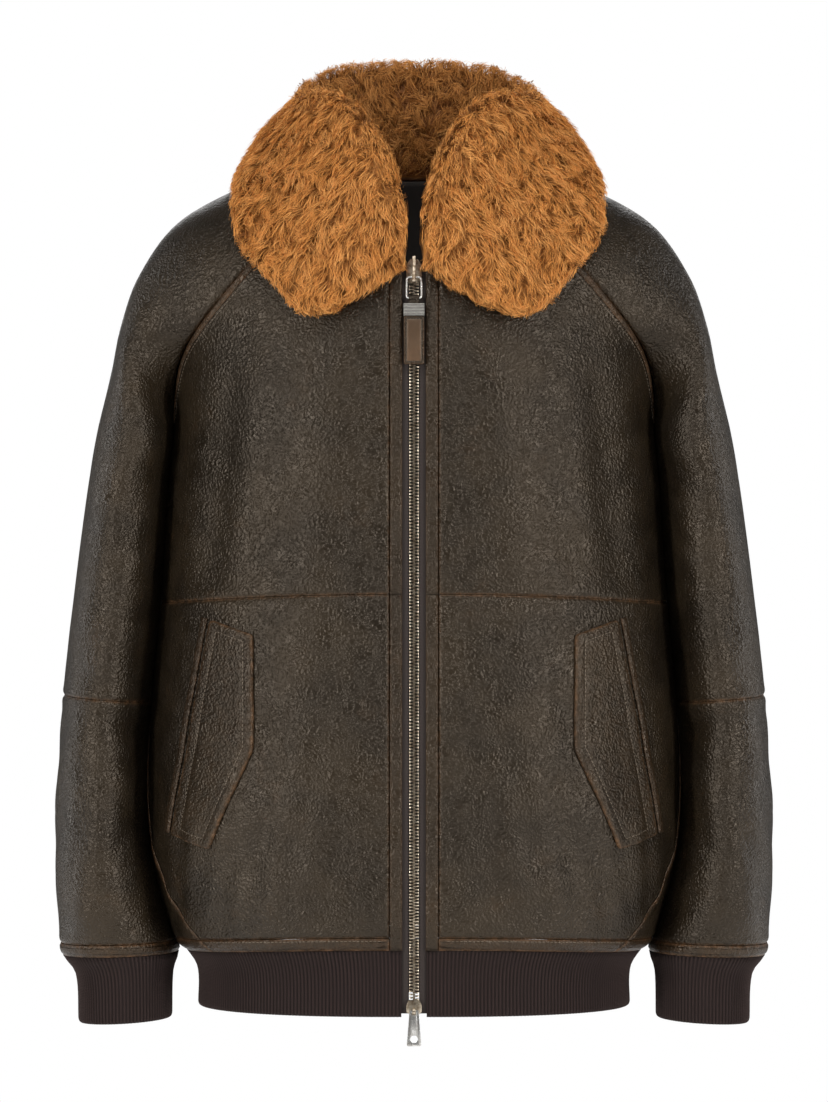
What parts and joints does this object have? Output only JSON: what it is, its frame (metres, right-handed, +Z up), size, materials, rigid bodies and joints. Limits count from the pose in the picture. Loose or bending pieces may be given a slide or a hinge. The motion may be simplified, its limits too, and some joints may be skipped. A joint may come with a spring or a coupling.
{
  "type": "leather jacket",
  "caption": "Hip-length leather jacket in the shape it is worn in, with a spread fur collar, raglan sleeves, a two-way zip, slanted pocket flaps and ribbed cuffs and hem.",
  "frame": {"origin": "middle of the neck, level with the sides of the neckline", "axes": "+Z up, -Y out of the front where the zip is, +X towards the wearer's left arm"},
  "size_m": [0.594, 0.259, 0.8149],
  "materials": {
    "leather": "grained, semi-gloss",
    "edge_leather": "grained, worn lighter at the edges",
    "knit": "ribbed knit, matt",
    "fur": "curly long-pile fur",
    "tape": "woven tape, matt",
    "brass": "aged, satin",
    "steel": "satin",
    "tab": "smooth, folded and stitched",
    "braid": "metallic woven band"
  },
  "bodies": {
    "jacket": {"front_upper_left": "leather", "front_lower_left": "leather", "sleeve_upper_left": "leather", "sleeve_lower_left": "leather", "pocket_flap_left": "leather", "sleeve_edge_left": "edge_leather", "hem_edge_left": "edge_leather", "raglan_strip_front_left": "edge_leather", "raglan_strip_back_left": "edge_leather", "side_strip_left": "edge_leather", "pocket_welt_left": "edge_leather", "placket_upper_left": "edge_leather", "placket_lower_left": "edge_leather", "rib_cuff_left": "knit", "zip_tape_left": "tape", "zip_teeth_left": "brass", "front_upper_right": "leather", "front_lower_right": "leather", "sleeve_upper_right": "leather", "sleeve_lower_right": "leather", "pocket_flap_right": "leather", "sleeve_edge_right": "edge_leather", "hem_edge_right": "edge_leather", "raglan_strip_front_right": "edge_leather", "raglan_strip_back_right": "edge_leather", "side_strip_right": "edge_leather", "pocket_welt_right": "edge_leather", "placket_upper_right": "edge_leather", "placket_lower_right": "edge_leather", "rib_cuff_right": "knit", "zip_tape_right": "tape", "zip_teeth_right": "brass", "back": "leather", "hem_edge_back": "edge_leather", "rib_hem": "knit", "collar": "fur", "zip_slider_top": "brass", "zip_slider_bottom": "brass"},
    "top_ring": {"pull_ring_top": "steel"},
    "top_tab": {"pull_tab_top": "tab", "pull_keeper_top": "braid"},
    "low_pull": {"pull_bottom": "steel"}
  },
  "joints": [
    {"name": "top_ring_swing", "type": "hinge", "parent": "jacket", "child": "top_ring", "pos_m": [0, -0.1074, -0.11181], "axis": [-1, 0, 0], "range_deg": [0, 100]},
    {"name": "top_tab_swing", "type": "hinge", "parent": "top_ring", "child": "top_tab", "pos_m": [0, -0.1113, -0.12887], "axis": [-1, 0, 0], "range_deg": [0, 50]},
    {"name": "low_pull_swing", "type": "hinge", "parent": "jacket", "child": "low_pull", "pos_m": [0, -0.12014, -0.7039], "axis": [-1, 0, 0], "range_deg": [0, 150]}
  ]
}
